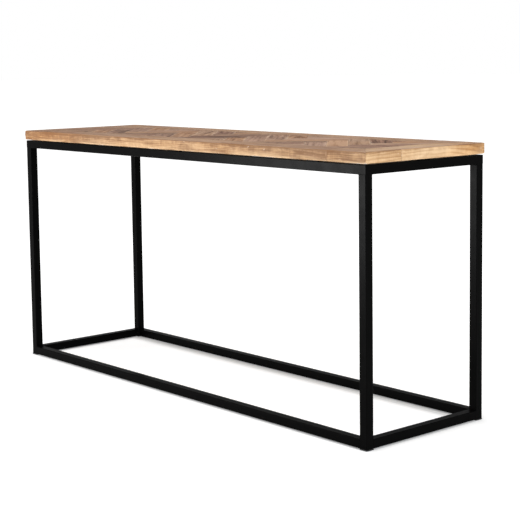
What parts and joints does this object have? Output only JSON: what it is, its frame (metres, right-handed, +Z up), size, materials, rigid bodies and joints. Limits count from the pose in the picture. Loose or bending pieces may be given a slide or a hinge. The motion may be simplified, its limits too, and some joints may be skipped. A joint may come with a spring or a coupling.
{
  "type": "console table",
  "caption": "Long narrow console table: thick reclaimed-wood top with a herringbone field, on a slim welded frame of black square steel tube with a bottom rail ring.",
  "frame": {"origin": "on the floor, under the centre of the table", "axes": "+X along the length, +Y from front to back, +Z up"},
  "size_m": [1.6, 0.46, 0.763],
  "materials": {
    "powder_coat": "satin black powder coat",
    "foot_plastic": "moulded, fine grain",
    "zinc_steel": "zinc plated",
    "border_wood": "waxed reclaimed wood, long grain",
    "core_board": "unfinished plywood",
    "stave_dark": "waxed reclaimed wood",
    "stave_tan": "waxed reclaimed wood",
    "stave_grey": "waxed reclaimed wood, weathered",
    "stave_honey": "waxed reclaimed wood"
  },
  "bodies": {
    "root": {"border_back": "border_wood", "border_front_corner": "border_wood", "border_front_long": "border_wood", "border_left": "border_wood", "border_right_corner": "border_wood", "border_right_long": "border_wood", "bottom_rail_back": "powder_coat", "bottom_rail_front": "powder_coat", "bottom_rail_left": "powder_coat", "bottom_rail_right": "powder_coat", "core_panel": "core_board", "foot_back_left": "foot_plastic", "foot_back_right": "foot_plastic", "foot_front_left": "foot_plastic", "foot_front_right": "foot_plastic", "leg_back_left": "powder_coat", "leg_back_right": "powder_coat", "leg_front_left": "powder_coat", "leg_front_right": "powder_coat", "staves_falling_dark": "stave_dark", "staves_falling_grey": "stave_grey", "staves_falling_honey": "stave_honey", "staves_falling_tan": "stave_tan", "staves_rising_dark": "stave_dark", "staves_rising_grey": "stave_grey", "staves_rising_honey": "stave_honey", "staves_rising_tan": "stave_tan", "tab_back_1": "powder_coat", "tab_back_2": "powder_coat", "tab_back_3": "powder_coat", "tab_front_1": "powder_coat", "tab_front_2": "powder_coat", "tab_front_3": "powder_coat", "tab_left": "powder_coat", "tab_right": "powder_coat", "tab_screws": "zinc_steel", "tab_washers": "zinc_steel", "top_rail_back": "powder_coat", "top_rail_front": "powder_coat", "top_rail_left": "powder_coat", "top_rail_right": "powder_coat"}
  },
  "joints": []
}
